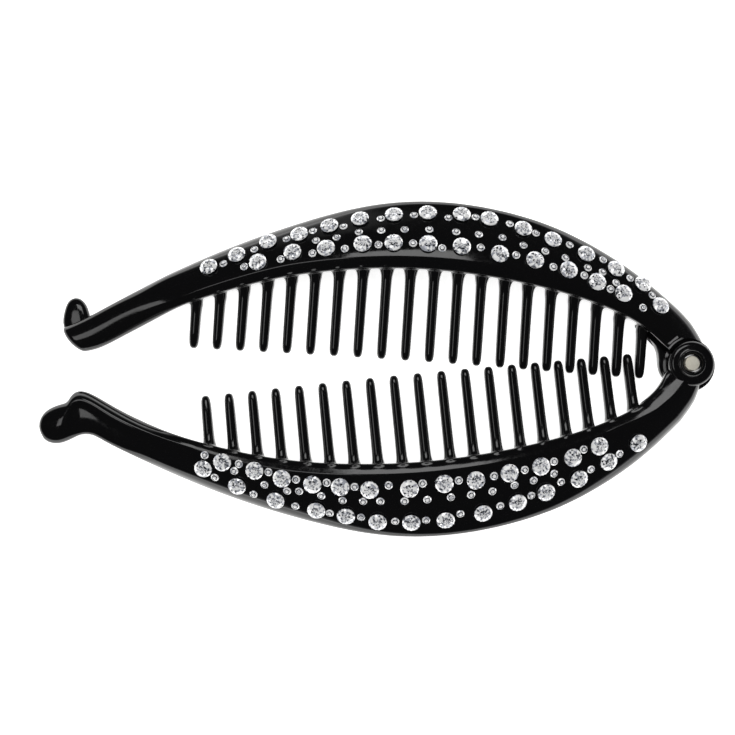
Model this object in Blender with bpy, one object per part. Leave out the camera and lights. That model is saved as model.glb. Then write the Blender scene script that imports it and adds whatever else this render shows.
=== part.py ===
"""Banana hair clip: two curved, toothed arms hinged at one end, their bands set with stones.

The clip lies on its inner side with its arms a little open. Every arm is shaped in its own
frame, in millimetres: the hinge axis at the origin, the arm running along -X and its band
toward +Y, as if the clip were closed. The arm objects then turn about the hinge.
"""

import math
from collections import namedtuple

import bmesh
import bpy
from mathutils import Matrix, Vector
from mathutils.bvhtree import BVHTree

# Driving sizes, in millimetres and degrees
HINGE_X = 69.5
HALF_OPENING = 4.8
BOW_HEIGHT = 5.0
BOW_MIDDLE = 64.0
BOW_HALF_LENGTH = 56.0
WALL = 2.7
FULL_RISE = 7.1
RIM = 1.2
BAND_BULGE = 0.5
# Distances from the band's inner edge, and heights below its crest
CREST = 4.1
STEP_TOP = 2.8
LEDGE_DROP = 0.15
STEP_FOOT = 1.2
STEP_DROP = 2.2
RAIL_DROP = 2.5
EDGE_CHAMFER = 0.35
# A band narrower than this has a narrower ledge and rail too
SLIM_WIDTH = 11.4

TOOTH_PITCH = 5.23
FIRST_TOOTH = 10.8
UPPER_TEETH = 20
TOOTH_REACH = 3.8
TOOTH_BELOW_RAIL = 1.5

EAR_SPLIT = 3.35
EAR_GAP = 0.3
LOW_EAR_RADIUS = 6.0
TOP_EAR_RADIUS = 5.0
EAR_CLEARANCE = 0.9
PIN_RADIUS = 1.65
PIN_GAP = 0.3
RING_RADIUS = 2.9
RING_BORE = 2.25
RING_HEIGHT = 0.5
TALL = 30.0

SPOON_X = -139.0
SPOON_Y = -1.3
SPOON_LENGTH = 13.4
SPOON_WIDTH = 7.8
SPOON_TURN = -14.0

STONE_RADIUS = 2.0
STONE_SEAT_GAP = 0.3
STUD_RADIUS = 0.75
STUD_HEIGHT = 0.6

# One row for each rib of the band, from the tail to the hinge: the plan position of its inner
# and outer end, the height of its foot on the upper and the lower arm, its rise from foot to
# crest, and the thickness of its wall
Rib = namedtuple("Rib", "inner_x inner_y outer_x outer_y upper_foot lower_foot rise wall")
RIBS = [
    Rib(-134.2, -6.0, -139.2, -1.3, 2.8, 6.2, 2.8, 9.0),
    Rib(-131.0, -5.3, -134.9, 0.8, 2.8, 6.2, 2.8, 9.0),
    Rib(-126.0, -1.9, -129.9, 4.2, 2.8, 6.2, 2.8, 9.0),
    Rib(-120.9, 1.2, -124.8, 7.4, 2.4, 6.1, 3.2, 4.0),
    Rib(-115.7, 4.0, -119.8, 10.4, 0.6, 2.6, 5.4, WALL),
    Rib(-110.5, 6.2, -115.5, 12.9, 0.0, 0.4, 6.8, WALL),
    Rib(-105.0, 8.2, -110.5, 15.6, 0.0, 0.0, FULL_RISE, WALL),
    Rib(-99.5, 10.1, -104.5, 18.6, 0.0, 0.0, FULL_RISE, WALL),
    Rib(-92.0, 12.2, -96.5, 22.2, 0.0, 0.0, FULL_RISE, WALL),
    Rib(-84.0, 13.8, -87.5, 25.7, 0.0, 0.0, FULL_RISE, WALL),
    Rib(-76.0, 14.9, -78.5, 28.8, 0.0, 0.0, FULL_RISE, WALL),
    Rib(-68.0, 15.6, -69.3, 31.0, 0.0, 0.0, FULL_RISE, WALL),
    Rib(-60.0, 15.9, -60.0, 31.9, 0.0, 0.0, FULL_RISE, WALL),
    Rib(-52.0, 15.7, -50.7, 31.7, 0.0, 0.0, FULL_RISE, WALL),
    Rib(-44.0, 15.2, -41.3, 30.5, 0.0, 0.0, FULL_RISE, WALL),
    Rib(-36.0, 14.3, -32.0, 28.4, 0.0, 0.0, FULL_RISE, WALL),
    Rib(-28.5, 13.1, -23.0, 24.9, 0.0, 0.0, FULL_RISE, WALL),
    Rib(-22.0, 11.6, -15.0, 20.8, 0.0, 0.0, FULL_RISE, WALL),
    Rib(-16.5, 9.9, -9.0, 16.8, 0.0, 0.0, FULL_RISE, 3.2),
    Rib(-12.0, 8.0, -4.0, 12.9, 0.0, 0.0, FULL_RISE, 5.0),
    Rib(-9.0, 5.8, 0.2, 9.6, 0.0, 0.0, FULL_RISE, 9.0),
]
# The last rib of an arm ends inside its own ear, at these directions seen from the hinge axis
LAST_RIB_INNER_ANGLE = 157.0
LAST_RIB_OUTER_ANGLE = 33.0

# The stones of one arm, as glued: for each its distance from the hinge axis along the arm and its
# place across the band (0 is the inner edge, 1 the outer)
StoneRow = namedtuple("StoneRow", "arm places")
LARGE_STONES = [
    StoneRow("upper", [(107.6, 0.69), (101.6, 0.73), (94.9, 0.79), (88.1, 0.76), (81.6, 0.78),
              (75.0, 0.80), (67.6, 0.80), (60.2, 0.82), (52.7, 0.84), (46.6, 0.84), (39.0, 0.81),
              (32.3, 0.78), (24.7, 0.78), (17.9, 0.80), (11.7, 0.85), (7.7, 0.68)]),
    StoneRow("upper", [(96.7, 0.42), (89.2, 0.44), (81.9, 0.39), (74.0, 0.38), (67.3, 0.36),
              (59.8, 0.35), (52.5, 0.36), (44.1, 0.34), (36.3, 0.37), (28.7, 0.39), (22.2, 0.39),
              (16.2, 0.42)]),
    StoneRow("lower", [(108.9, 0.56), (104.6, 0.31), (97.7, 0.31), (91.9, 0.34), (85.4, 0.35),
              (79.5, 0.34), (73.3, 0.35), (64.8, 0.33), (57.3, 0.30), (50.5, 0.31), (43.1, 0.30),
              (36.1, 0.32), (28.9, 0.35), (22.8, 0.35), (13.9, 0.67)]),
    StoneRow("lower", [(101.9, 0.70), (93.8, 0.76), (85.2, 0.77), (78.9, 0.77), (72.2, 0.80),
              (65.0, 0.79), (57.6, 0.78), (49.4, 0.76), (41.7, 0.72), (35.3, 0.70), (27.8, 0.70),
              (20.9, 0.67)]),
]
SMALL_STONES = [
    StoneRow("upper", [(104.6, 0.68), (99.8, 0.44), (98.0, 0.76), (91.8, 0.38), (91.0, 0.77),
              (85.3, 0.79), (84.9, 0.36), (84.4, 0.59), (79.9, 0.57), (78.6, 0.74), (77.9, 0.35),
              (75.1, 0.60), (70.6, 0.36), (70.5, 0.78), (70.2, 0.58), (65.1, 0.58), (63.2, 0.81),
              (63.1, 0.37), (59.7, 0.58), (56.7, 0.32), (55.6, 0.79), (53.8, 0.58), (49.6, 0.85),
              (48.8, 0.59), (48.3, 0.40), (43.5, 0.61), (41.9, 0.85), (40.4, 0.39), (38.8, 0.57),
              (36.0, 0.82), (33.9, 0.57), (32.0, 0.37), (29.3, 0.59), (28.3, 0.84), (25.0, 0.42),
              (24.2, 0.58), (20.8, 0.64), (20.6, 0.87), (19.0, 0.39), (17.7, 0.57), (14.4, 0.83),
              (11.5, 0.40), (9.3, 0.81)]),
    StoneRow("lower", [(108.4, 0.27), (106.8, 0.71), (102.3, 0.43), (101.1, 0.25), (98.7, 0.80),
              (96.0, 0.55), (94.8, 0.28), (91.2, 0.57), (89.8, 0.81), (89.0, 0.33), (88.6, 0.53),
              (83.9, 0.54), (82.5, 0.80), (82.4, 0.31), (79.4, 0.56), (76.5, 0.33), (75.8, 0.78),
              (75.0, 0.54), (71.3, 0.52), (69.2, 0.29), (68.5, 0.79), (66.1, 0.51), (61.9, 0.28),
              (61.8, 0.78), (61.2, 0.50), (56.1, 0.50), (54.3, 0.74), (54.1, 0.29), (51.7, 0.50),
              (47.0, 0.51), (46.4, 0.31), (45.5, 0.73), (42.1, 0.49), (39.6, 0.32), (38.5, 0.70),
              (37.8, 0.50), (33.2, 0.49), (33.0, 0.32), (31.7, 0.65), (26.2, 0.30), (24.8, 0.66),
              (18.1, 0.67)]),
]


def material(name, colour, roughness, metallic):
    made = bpy.data.materials.new(name)
    made.use_nodes = True
    shader = made.node_tree.nodes["Principled BSDF"]
    shader.inputs["Base Color"].default_value = (*colour, 1.0)
    shader.inputs["Roughness"].default_value = roughness
    shader.inputs["Metallic"].default_value = metallic
    return made


def bow(x, y):
    """How far the arms arch away from the surface at this plan distance from the hinge."""
    from_middle = abs(math.hypot(x, y) - BOW_MIDDLE) / BOW_HALF_LENGTH
    if from_middle > 1:
        return 0.0
    return BOW_HEIGHT * math.cos(math.pi / 2 * from_middle) ** 2


def new_object(name, shape, parent=None, cutter=False):
    """An object from a bmesh in millimetres. A cutter shapes another object and isn't a piece."""
    bmesh.ops.recalc_face_normals(shape, faces=shape.faces)
    bmesh.ops.scale(shape, vec=(0.001, 0.001, 0.001), verts=shape.verts)
    mesh = bpy.data.meshes.new(name)
    shape.to_mesh(mesh)
    shape.free()
    made = bpy.data.objects.new(name, mesh)
    bpy.context.scene.collection.objects.link(made)
    made.parent = parent
    if cutter:
        made.hide_render = True
        made.display_type = "WIRE"
    return made


def combine(target, operation, other):
    step = target.modifiers.new(other.name, "BOOLEAN")
    step.operation = operation
    step.solver = "EXACT"
    step.object = other


def loft(shape, rings):
    """Closes a run of rings, each with as many points, into one skin."""
    rows = [[shape.verts.new(point) for point in ring] for ring in rings]
    count = len(rows[0])
    for near, far in zip(rows, rows[1:]):
        for i in range(count):
            j = (i + 1) % count
            shape.faces.new((near[i], near[j], far[j], far[i]))
    shape.faces.new(list(reversed(rows[0])))
    shape.faces.new(rows[-1])


def drum(shape, radius, low, high, sides=28):
    bmesh.ops.create_cone(
        shape, cap_ends=True, segments=sides, radius1=radius, radius2=radius, depth=high - low,
        matrix=Matrix.Translation((0, 0, (low + high) / 2)),
    )


# The band


def band_profile(width, rise, wall):
    """The rib's outline as (distance from its inner end, height over its foot).

    From the outer rim it climbs to the crest, runs along a narrow ledge and steps down to the rail.
    """
    scale = min(1.0, width / SLIM_WIDTH)
    low = rise / FULL_RISE
    crest = CREST * scale
    rail_height = rise - RAIL_DROP * low
    rim = RIM * low
    outside = [(width, 0.0), (width, rim)]
    for share in (0.3, 0.6, 0.82):
        bulge = 4 * BAND_BULGE * low * share * (1 - share)
        outside.append((width + (crest - width) * share, rim + (rise - rim) * share + bulge))
    outside += [(crest, rise), (STEP_TOP * scale, rise - LEDGE_DROP * low)]
    outside += [(STEP_FOOT * scale, rise - STEP_DROP * low), (EDGE_CHAMFER, rail_height)]
    outside += [(0.0, rail_height - EDGE_CHAMFER)]
    inside = []
    for across in (0.0, 0.28, 0.55, 0.8):
        inside.append((across * width, max(0.0, height_at(outside, across * width) - wall)))
    return outside + inside


def height_at(outline, distance):
    for (far, far_height), (near, near_height) in zip(outline[1:], outline[2:]):
        if near <= distance <= far:
            share = (distance - near) / (far - near)
            return near_height + (far_height - near_height) * share
    return outline[-1][1]


def last_rib(ear_radius):
    """The rib that ends the arm inside its ear."""
    reach = ear_radius - 0.1
    inner = math.radians(LAST_RIB_INNER_ANGLE)
    outer = math.radians(LAST_RIB_OUTER_ANGLE)
    return Rib(
        reach * math.cos(inner), reach * math.sin(inner),
        reach * math.cos(outer), reach * math.sin(outer), 0.0, 0.0, FULL_RISE, 9.0,
    )


def rib_ring(rib, foot, side):
    width = math.hypot(rib.outer_x - rib.inner_x, rib.outer_y - rib.inner_y)
    ring = []
    for distance, height in band_profile(width, rib.rise, rib.wall):
        share = distance / width
        x = rib.inner_x + (rib.outer_x - rib.inner_x) * share
        y = rib.inner_y + (rib.outer_y - rib.inner_y) * share
        ring.append(Vector((x, side * y, foot + height + bow(x, y))))
    return ring


def band_shape(arm, side, ear_radius):
    shape = bmesh.new()
    ribs = RIBS + [last_rib(ear_radius)]
    loft(shape, [rib_ring(rib, getattr(rib, arm + "_foot"), side) for rib in ribs])
    bmesh.ops.recalc_face_normals(shape, faces=shape.faces)
    return shape


def inner_edge(x):
    """The y of the band's inner edge at this x."""
    for tail, hinge in zip(RIBS, RIBS[1:]):
        if tail.inner_x <= x <= hinge.inner_x:
            share = (x - tail.inner_x) / (hinge.inner_x - tail.inner_x)
            return tail.inner_y + (hinge.inner_y - tail.inner_y) * share
    return RIBS[-1].inner_y


# The comb

# One row for each ring of a tooth: its place from the rail to the tip in millimetres (from the
# tip where it is negative), its width along the arm and its depth
ToothRing = namedtuple("ToothRing", "place width depth")
TOOTH_RINGS = [
    ToothRing(0.0, 3.3, 2.8),
    ToothRing(2.9, 2.0, 2.8),
    ToothRing(-0.9, 1.7, 2.2),
    ToothRing(-0.01, 0.9, 1.2),
]
TOOTH_SIDES = 8
TOOTH_ROOT_DEPTH = 1.4


def tooth(shape, x, side):
    root_y = inner_edge(x) + TOOTH_ROOT_DEPTH
    tip_y = -TOOTH_REACH
    rings = []
    for row in TOOTH_RINGS:
        y = root_y - row.place if row.place >= 0 else tip_y - row.place
        middle = bow(x, y) + FULL_RISE - RAIL_DROP - TOOTH_BELOW_RAIL
        ring = []
        for i in range(TOOTH_SIDES):
            angle = 2 * math.pi * (i + 0.5) / TOOTH_SIDES
            sideways = row.width / 2 * math.cos(angle)
            upward = row.depth / 2 * math.sin(angle)
            ring.append((x + sideways, side * y, middle + upward))
        rings.append(ring)
    loft(shape, rings)


def comb_shape(first, count, side):
    shape = bmesh.new()
    for i in range(count):
        tooth(shape, -(first + TOOTH_PITCH * i), side)
    return shape


# Stones


def band_place(arm, along, across):
    """Plan position at this share across the band, where it lies this far along the arm."""
    line = []
    for rib in RIBS:
        x = rib.inner_x + (rib.outer_x - rib.inner_x) * across
        y = rib.inner_y + (rib.outer_y - rib.inner_y) * across
        line.append((x, y))
    for (near_x, near_y), (far_x, far_y) in zip(line, line[1:]):
        if near_x <= -along <= far_x:
            share = (-along - near_x) / (far_x - near_x)
            return -along, near_y + (far_y - near_y) * share
    return line[-1]


def seat(skin, x, y):
    """Point and outward direction of the band's face over this plan position."""
    down = Vector((0, 0, -1))

    def hit(over_x, over_y):
        return skin.ray_cast(Vector((over_x, over_y, TALL)), down)[0]

    reach = 1.2
    slope_x = hit(x + reach, y) - hit(x - reach, y)
    slope_y = hit(x, y + reach) - hit(x, y - reach)
    return hit(x, y), slope_x.cross(slope_y).normalized()


def cut_stone_mesh():
    """A brilliant-cut stone: a flat table, a slanted crown of eight facets and a short skirt."""
    shape = bmesh.new()
    rings = []
    for radius, height in ((1.6, 0.0), (STONE_RADIUS, 0.45), (1.15, 1.35)):
        angles = [2 * math.pi * i / 8 for i in range(8)]
        rings.append([(radius * math.cos(a), radius * math.sin(a), height) for a in angles])
    loft(shape, rings)
    holder = new_object("cut_stone", shape)
    mesh = holder.data
    bpy.data.objects.remove(holder)
    mesh.materials.append(CRYSTAL)
    return mesh


def stud_shape(arm, side, skin):
    """The small stones of one arm, each a six-sided bump sunk a little into the band."""
    shape = bmesh.new()
    for row in SMALL_STONES:
        if row.arm != arm:
            continue
        for along, across in row.places:
            x, y = band_place(arm, along, across)
            point, up = seat(skin, x, side * y)
            turn = up.to_track_quat("Z", "Y").to_matrix().to_4x4()
            depth = STUD_HEIGHT + 0.5
            centre = point + up * (STUD_HEIGHT - depth / 2)
            bmesh.ops.create_cone(
                shape, cap_ends=True, segments=6, radius1=STUD_RADIUS,
                radius2=0.6 * STUD_RADIUS, depth=depth,
                matrix=Matrix.Translation(centre) @ turn,
            )
    return shape


# The arms


def prism(outline, low, high):
    shape = bmesh.new()
    loft(shape, [[(x, y, z) for x, y in outline] for z in (low, high)])
    return shape


def upper_tail_end():
    """The rounded tab that stands out past the upper tail, low down, and the web that carries it."""
    tab = [(-133.5, -4.2), (-131.5, 0.5), (-134.0, 3.2), (-135.6, 5.2), (-137.6, 5.9),
           (-139.6, 4.6), (-140.6, 1.8), (-139.4, -1.6)]
    web = [(-134.6, -3.6), (-132.8, 0.6), (-135.2, 1.0), (-138.2, -1.0)]
    return [prism(tab, 0.0, 2.2), prism(web, 1.5, 4.2)]


def lower_tail_end():
    """The spoon-shaped thumb rest of the lower tail, domed on top."""
    shape = bmesh.new()
    rings = []
    for height, spread in ((6.5, 0.8), (7.0, 1.0), (8.4, 1.0), (9.4, 0.7)):
        ring = []
        for i in range(14):
            angle = 2 * math.pi * i / 14
            along = SPOON_LENGTH / 2 * spread * math.cos(angle)
            over = SPOON_WIDTH / 2 * spread * math.sin(angle)
            turned = Matrix.Rotation(math.radians(SPOON_TURN), 2) @ Vector((along, over))
            ring.append((SPOON_X + turned.x, -(SPOON_Y + turned.y), height))
        rings.append(ring)
    loft(shape, rings)
    return [shape]


# An ear and the clearance above or below it that the other arm's ear turns in
Ear = namedtuple("Ear", "radius low high recess_radius recess_low recess_high")


def build_arm(arm, side, ear, first_tooth, tooth_count):
    """One arm with its comb, small stones, tail end and ear, and the band's bare skin."""
    band = band_shape(arm, side, ear.radius)
    skin = BVHTree.FromBMesh(band)
    made = new_object(arm + "_arm", band)
    made.data.materials.append(BLACK_PLASTIC)

    recess = bmesh.new()
    drum(recess, ear.recess_radius, ear.recess_low, ear.recess_high)
    disc = bmesh.new()
    drum(disc, ear.radius, ear.low, ear.high)
    tail_end = upper_tail_end() if arm == "upper" else lower_tail_end()
    steps = [("comb", "UNION", comb_shape(first_tooth, tooth_count, side))]
    steps += [("tail_end", "UNION", shape) for shape in tail_end]
    steps += [("studs", "UNION", stud_shape(arm, side, skin))]
    steps += [("ear_recess", "DIFFERENCE", recess), ("ear", "UNION", disc)]
    for name, operation, shape in steps:
        combine(made, operation, new_object(f"{arm}_{name}", shape, made, True))
    return made, skin


def drill(arm, radius, low, high):
    bore = bmesh.new()
    drum(bore, radius, low, high, 20)
    combine(arm, "DIFFERENCE", new_object(arm.name + "_bore", bore, arm, True))


for old in list(bpy.data.objects):
    bpy.data.objects.remove(old)
bpy.context.scene.unit_settings.system = "METRIC"

BLACK_PLASTIC = material("black_plastic", (0.006, 0.006, 0.007), 0.12, 0.0)
CRYSTAL = material("crystal", (0.85, 0.86, 0.88), 0.05, 0.6)
PIN_METAL = material("pin_metal", (0.62, 0.58, 0.50), 0.35, 1.0)

low_ear_top = EAR_SPLIT - EAR_GAP / 2
top_ear_foot = EAR_SPLIT + EAR_GAP / 2
upper_ear = Ear(LOW_EAR_RADIUS, 0.0, low_ear_top, TOP_EAR_RADIUS + EAR_CLEARANCE, low_ear_top, TALL)
lower_ear = Ear(
    TOP_EAR_RADIUS, top_ear_foot, FULL_RISE, LOW_EAR_RADIUS + EAR_CLEARANCE / 2, -1.0, top_ear_foot
)
upper_arm, upper_skin = build_arm("upper", 1, upper_ear, FIRST_TOOTH, UPPER_TEETH)
lower_arm, lower_skin = build_arm(
    "lower", -1, lower_ear, FIRST_TOOTH + TOOTH_PITCH / 2, UPPER_TEETH - 1
)

ring = bmesh.new()
drum(ring, RING_RADIUS, FULL_RISE - 1, FULL_RISE + RING_HEIGHT)
combine(lower_arm, "UNION", new_object("hinge_ring", ring, lower_arm, True))
well = bmesh.new()
drum(well, RING_BORE, FULL_RISE - 0.5, TALL, 20)
combine(lower_arm, "DIFFERENCE", new_object("hinge_well", well, lower_arm, True))
drill(upper_arm, PIN_RADIUS + PIN_GAP, -1.0, TALL)
drill(lower_arm, PIN_RADIUS + PIN_GAP, -1.0, TALL)

pin = bmesh.new()
drum(pin, PIN_RADIUS, 0.3, FULL_RISE + 0.1, 20)
hinge_pin = new_object("hinge_pin", pin)
hinge_pin.data.materials.append(PIN_METAL)

stone_mesh = cut_stone_mesh()
for arm, side, skin, carrier in (
    ("upper", 1, upper_skin, upper_arm),
    ("lower", -1, lower_skin, lower_arm),
):
    rows = [row for row in LARGE_STONES if row.arm == arm]
    places = [band_place(arm, *place) for row in rows for place in row.places]
    for number, (x, y) in enumerate(places, start=1):
        point, up = seat(skin, x, side * y)
        stone = bpy.data.objects.new(f"{arm}_stone_{number:02d}", stone_mesh)
        bpy.context.scene.collection.objects.link(stone)
        stone.parent = carrier
        stone.location = (point + up * STONE_SEAT_GAP) * 0.001
        stone.rotation_euler = up.to_track_quat("Z", "Y").to_euler()

for piece in (upper_arm, lower_arm, hinge_pin):
    piece.location = (HINGE_X * 0.001, 0, 0)
upper_arm.rotation_euler.z = -math.radians(HALF_OPENING)
lower_arm.rotation_euler.z = math.radians(HALF_OPENING)
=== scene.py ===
"""Banana hair clip: the finish of its two moulded arms, its hinge pin and its glued-on stones."""

import math
import random

import bmesh
import bpy
from mathutils import Matrix, Vector
from mathutils.bvhtree import BVHTree


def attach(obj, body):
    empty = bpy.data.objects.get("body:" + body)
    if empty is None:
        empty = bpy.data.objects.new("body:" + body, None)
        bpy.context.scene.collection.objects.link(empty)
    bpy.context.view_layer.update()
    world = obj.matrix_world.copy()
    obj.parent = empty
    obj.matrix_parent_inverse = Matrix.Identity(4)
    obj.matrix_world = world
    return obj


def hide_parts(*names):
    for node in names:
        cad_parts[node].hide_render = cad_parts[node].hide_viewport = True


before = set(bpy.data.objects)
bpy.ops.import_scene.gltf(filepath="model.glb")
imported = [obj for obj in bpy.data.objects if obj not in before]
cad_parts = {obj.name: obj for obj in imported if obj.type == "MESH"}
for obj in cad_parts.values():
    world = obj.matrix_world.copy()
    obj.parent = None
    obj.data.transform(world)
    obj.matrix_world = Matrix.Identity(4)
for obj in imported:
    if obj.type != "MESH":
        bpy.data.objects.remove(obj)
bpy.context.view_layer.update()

draw = random.Random(7)

# The arms
# Two injection mouldings of glossy black styrene. Each is a hollow band that climbs from its outer
# rim to a crest and rolls over it down to an inner edge, and the teeth grow out of that edge.
# An arm is shaped in its own frame, in millimetres: the hinge axis at the origin, the arm along -X
# and the band toward +Y, and then turned to its place. Heights and sizes are those of the CAD model.

HINGE = Vector((69.5, 0.0, 0.0))
HALF_OPENING = math.radians(4.8)
SIDES = {"upper": 1, "lower": -1}
EAR_RADII = {"upper": 6.0, "lower": 5.0}
# The arch of the arms over the surface that they lie on, by distance from the hinge
BOW_HEIGHT = 5.0
BOW_MIDDLE = 64.0
BOW_HALF_LENGTH = 56.0
# The wall of the hollow band, and one thick enough to make a rib solid
WALL = 2.7
SOLID = 9.0
FULL_RISE = 7.1
# The slope of the face at its crest and at its shoulder, the share of its width in which the slope
# grows, and the shares at which its points lie. A band narrower than WIDE_BAND has a flatter face.
FACE_AT_CREST = math.radians(3)
FACE_AT_SHOULDER = math.radians(31)
FACE_ROLL_SHARE = 0.57
FACE_SHARES = (1.0, 0.8, 0.62, 0.46, 0.3, 0.16, 0.05, 0.0)
WIDE_BAND = 14.0
SLIM_FLATTER = math.radians(9)
# The rounded outer rim: its width, the turns of its points in degrees, the points of its foot (past
# the rim, up) and how far it swells past a rib's outer end
SHOULDER_WIDTH = 1.8
SHOULDER_TURNS = (84, 72, 60, 46)
RIM_FOOT = ((-0.6, 0.0), (-0.04, 0.08))
OUTER_SWELL = {"upper": 0.8, "lower": 0.3}
# The inner edge: how far it is set back from a rib's inner end, how far the crest is from that end
# and above the edge, and the depth and lean of the wall beneath. A band less than SLIM_WIDTH wide
# has less of the first two, but its crest leaves the face at least as wide as LEAST_FACE.
EDGE_SET_BACK = {"upper": 0.4, "lower": -0.25}
CREST = {"upper": 2.8, "lower": 2.1}
EDGE_DROP = 1.9
SLIM_WIDTH = 11.4
INNER_WALL_FOOT = 5.55
WALL_DRAFT = 0.5
LEAST_FACE = 1.0
# The roll from the crest down to that edge: the share of the way that is left, the share of the drop
# and the share of a tooth's rib
EDGE_ROLL = (
    (0.92, 0.03, 0.0), (0.55, 0.14, 0.0), (0.32, 0.28, 0.1), (0.1, 0.4, 0.7), (0.01, 0.54, 1.0),
    (0.0, 1.0, 1.0),
)
# Shares of the width at which the inside of the hollow follows the outside, and how much more
# gently it goes down at the rim and behind the crest
HOLLOW_SHARES = (0.15, 0.28, 0.42, 0.55, 0.68, 0.8, 0.9)
HOLLOW_RIM_GAIN = 0.4
HOLLOW_DROP_SHARE = 0.6
# The plain bar of a tail: how square its crown is, how far it swells outward, and its bead
BAR_SQUARENESS = 0.7
BAR_SWELL = 0.2
BEAD_PLACE = 1.5
BEAD_SPREAD = 1.3

# Plan positions of a rib's inner and outer end, the height of its foot on the upper and the lower
# arm, its rise and the thickness of its wall, from the tail to the hinge
RIBS = [
    (-134.2, -6.0, -139.2, -1.3, 2.8, 6.2, 2.8, SOLID),
    (-131.0, -5.3, -134.9, 0.8, 2.8, 6.2, 2.8, SOLID),
    (-126.0, -1.9, -129.9, 4.2, 2.8, 6.2, 2.8, SOLID),
    (-120.9, 1.2, -124.8, 7.4, 2.4, 6.1, 3.2, 4.0),
    (-115.7, 4.0, -119.8, 10.4, 0.6, 2.6, 5.4, WALL),
    (-110.5, 6.2, -115.5, 12.9, 0.0, 0.4, 6.8, WALL),
    (-105.0, 8.2, -110.5, 15.6, 0.0, 0.0, FULL_RISE, WALL),
    (-99.5, 10.1, -104.5, 18.6, 0.0, 0.0, FULL_RISE, WALL),
    (-92.0, 12.2, -96.5, 22.2, 0.0, 0.0, FULL_RISE, WALL),
    (-84.0, 13.8, -87.5, 25.7, 0.0, 0.0, FULL_RISE, WALL),
    (-76.0, 14.9, -78.5, 28.8, 0.0, 0.0, FULL_RISE, WALL),
    (-68.0, 15.6, -69.3, 31.0, 0.0, 0.0, FULL_RISE, WALL),
    (-60.0, 15.9, -60.0, 31.9, 0.0, 0.0, FULL_RISE, WALL),
    (-52.0, 15.7, -50.7, 31.7, 0.0, 0.0, FULL_RISE, WALL),
    (-44.0, 15.2, -41.3, 30.5, 0.0, 0.0, FULL_RISE, WALL),
    (-36.0, 14.3, -32.0, 28.4, 0.0, 0.0, FULL_RISE, WALL),
    (-28.5, 13.1, -23.0, 24.9, 0.0, 0.0, FULL_RISE, WALL),
    (-22.0, 11.6, -15.0, 20.8, 0.0, 0.0, FULL_RISE, WALL),
    (-16.5, 9.9, -9.0, 16.8, 0.0, 0.0, FULL_RISE, 3.2),
    (-12.0, 8.0, -4.0, 12.9, 0.0, 0.0, FULL_RISE, 5.0),
    (-9.0, 5.8, 0.2, 9.6, 0.0, 0.0, FULL_RISE, SOLID),
]
# The solid ribs of the lower arm's tail, without a wall. It turns outward past the nose of its bead
# and ends in the thumb rest.
TAIL_START = -126.0
LOWER_TAIL = [
    (-142.9, -2.9, -143.6, 1.2, 6.2, 2.3), (-142.0, -3.8, -143.2, 2.4, 6.2, 2.5),
    (-140.2, -4.5, -142.0, 3.3, 6.2, 2.7), (-138.4, -4.8, -140.1, 3.7, 6.2, 2.9),
    (-137.3, -4.9, -138.4, 3.3, 6.2, 2.9), (-136.8, -6.2, -136.9, 2.7, 6.2, 2.8),
    (-135.5, -7.4, -135.7, 2.2, 6.2, 2.8), (-133.6, -7.3, -134.5, 1.9, 6.2, 2.8),
    (-131.2, -5.8, -132.6, 2.2, 6.2, 2.8), (-128.6, -3.8, -131.2, 3.2, 6.2, 2.8),
]
# The rib that ends a band inside its ear: the directions of its ends and how far in they stop
LAST_RIB_INNER_ANGLE = math.radians(157)
LAST_RIB_OUTER_ANGLE = math.radians(33)
LAST_RIB_INSET = 1.2
LAST_RIB_RISE = FULL_RISE - 0.15

# The comb: how far its teeth are from each other and the first one from the hinge, how many there
# are, how wide at the root, how far they reach past the middle line, and how much of each shows as
# a rib on the inner edge
TOOTH_PITCH = 5.23
FIRST_TOOTH = {"upper": 10.8, "lower": 10.8 + TOOTH_PITCH / 2}
TOOTH_COUNT = {"upper": 20, "lower": 19}
ROOT_HALF_WIDTH = 1.7
TOOTH_REACH = 3.8
RIB_OVER_EDGE = 0.6
# Columns of the band's mesh: five at each tooth, one between teeth, and those past the comb, which
# keep the least gap from its last one. One more goes before the comb where there is room for it.
TOOTH_COLUMNS = (-2.2, -ROOT_HALF_WIDTH, 0.0, ROOT_HALF_WIDTH, 2.2)
TAIL_COLUMNS = {
    "upper": (-133.9, -133.0, -131.2, -129.0, -126.5, -124.0, -121.4, -118.8, -116.2),
    "lower": (-142.5, -141.9, -141.0, -139.8, -138.6, -137.7, -137.1, -136.6, -135.8, -134.6, -133.0, -131.0,
              -128.8, -126.5, -124.0, -121.4, -118.8, -116.2),
}
HINGE_COLUMNS = (-8.4, -7.5, -6.6, -5.7, -4.7)
LEAST_COLUMN_GAP = 0.4
ROOM_FOR_COLUMN = 1.0
# How much wider the ledge gets toward the hinge, and between which x
LEDGE_GAIN = {"upper": 0.0, "lower": 2.6}
LEDGE_WIDENS = (-20.0, -5.0)
# Where the plain bar of the tail becomes the band, how much of a bead its inner edge has, and where
# that bead rises from the end
BAR_TO_BAND = (-124.0, -112.0)
BEAD = {"upper": 0.0, "lower": 0.3}
BEAD_RISES = (-138.0, -135.0)
# The way that a bar's end faces, and the rings that close it: how much smaller each one is than the
# last, and how far past it
END_WAY = {"upper": Vector((-0.7, -0.7, 0.0)), "lower": Vector((-1.0, 0.0, 0.0))}
END_RINGS = {"upper": ((0.9, 0.45), (0.66, 0.45), (0.3, 0.2)), "lower": ((0.62, 0.42), (0.4, 0.16))}
END_CAP_INSET = 0.35


def bow(x, y):
    """How far the arms arch away from the surface at this plan distance from the hinge."""
    from_middle = abs(math.hypot(x, y) - BOW_MIDDLE) / BOW_HALF_LENGTH
    if from_middle > 1:
        return 0.0
    return BOW_HEIGHT * math.cos(math.pi / 2 * from_middle) ** 2


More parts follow.
